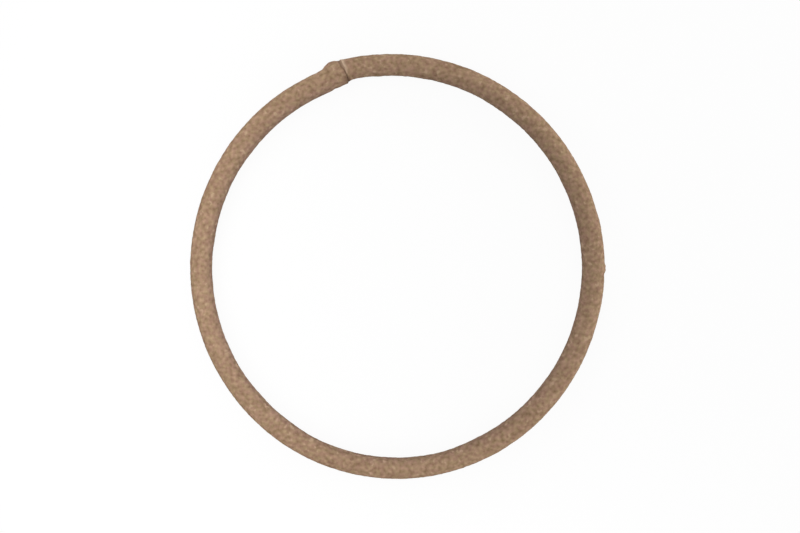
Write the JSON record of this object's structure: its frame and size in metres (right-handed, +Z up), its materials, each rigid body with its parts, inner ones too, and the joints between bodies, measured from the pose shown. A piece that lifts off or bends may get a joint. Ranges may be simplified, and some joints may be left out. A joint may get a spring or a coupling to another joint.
{
  "type": "cork ring",
  "caption": "Slim ring of round composition-cork cord, bent into a slightly oval hoop and glued end to end at a skewed butt seam.",
  "frame": {"origin": "middle of the hoop, on the surface that it lies on", "axes": "+Z up, along the hoop's axis; +Y along the hoop's longer diameter, with the seam a little to the left of it; +X to the right"},
  "size_m": [0.0926, 0.095, 0.005],
  "materials": {
    "cork": "matte, fine-grained composition cork"
  },
  "bodies": {
    "root": {"cork_ring": "cork"}
  },
  "joints": []
}
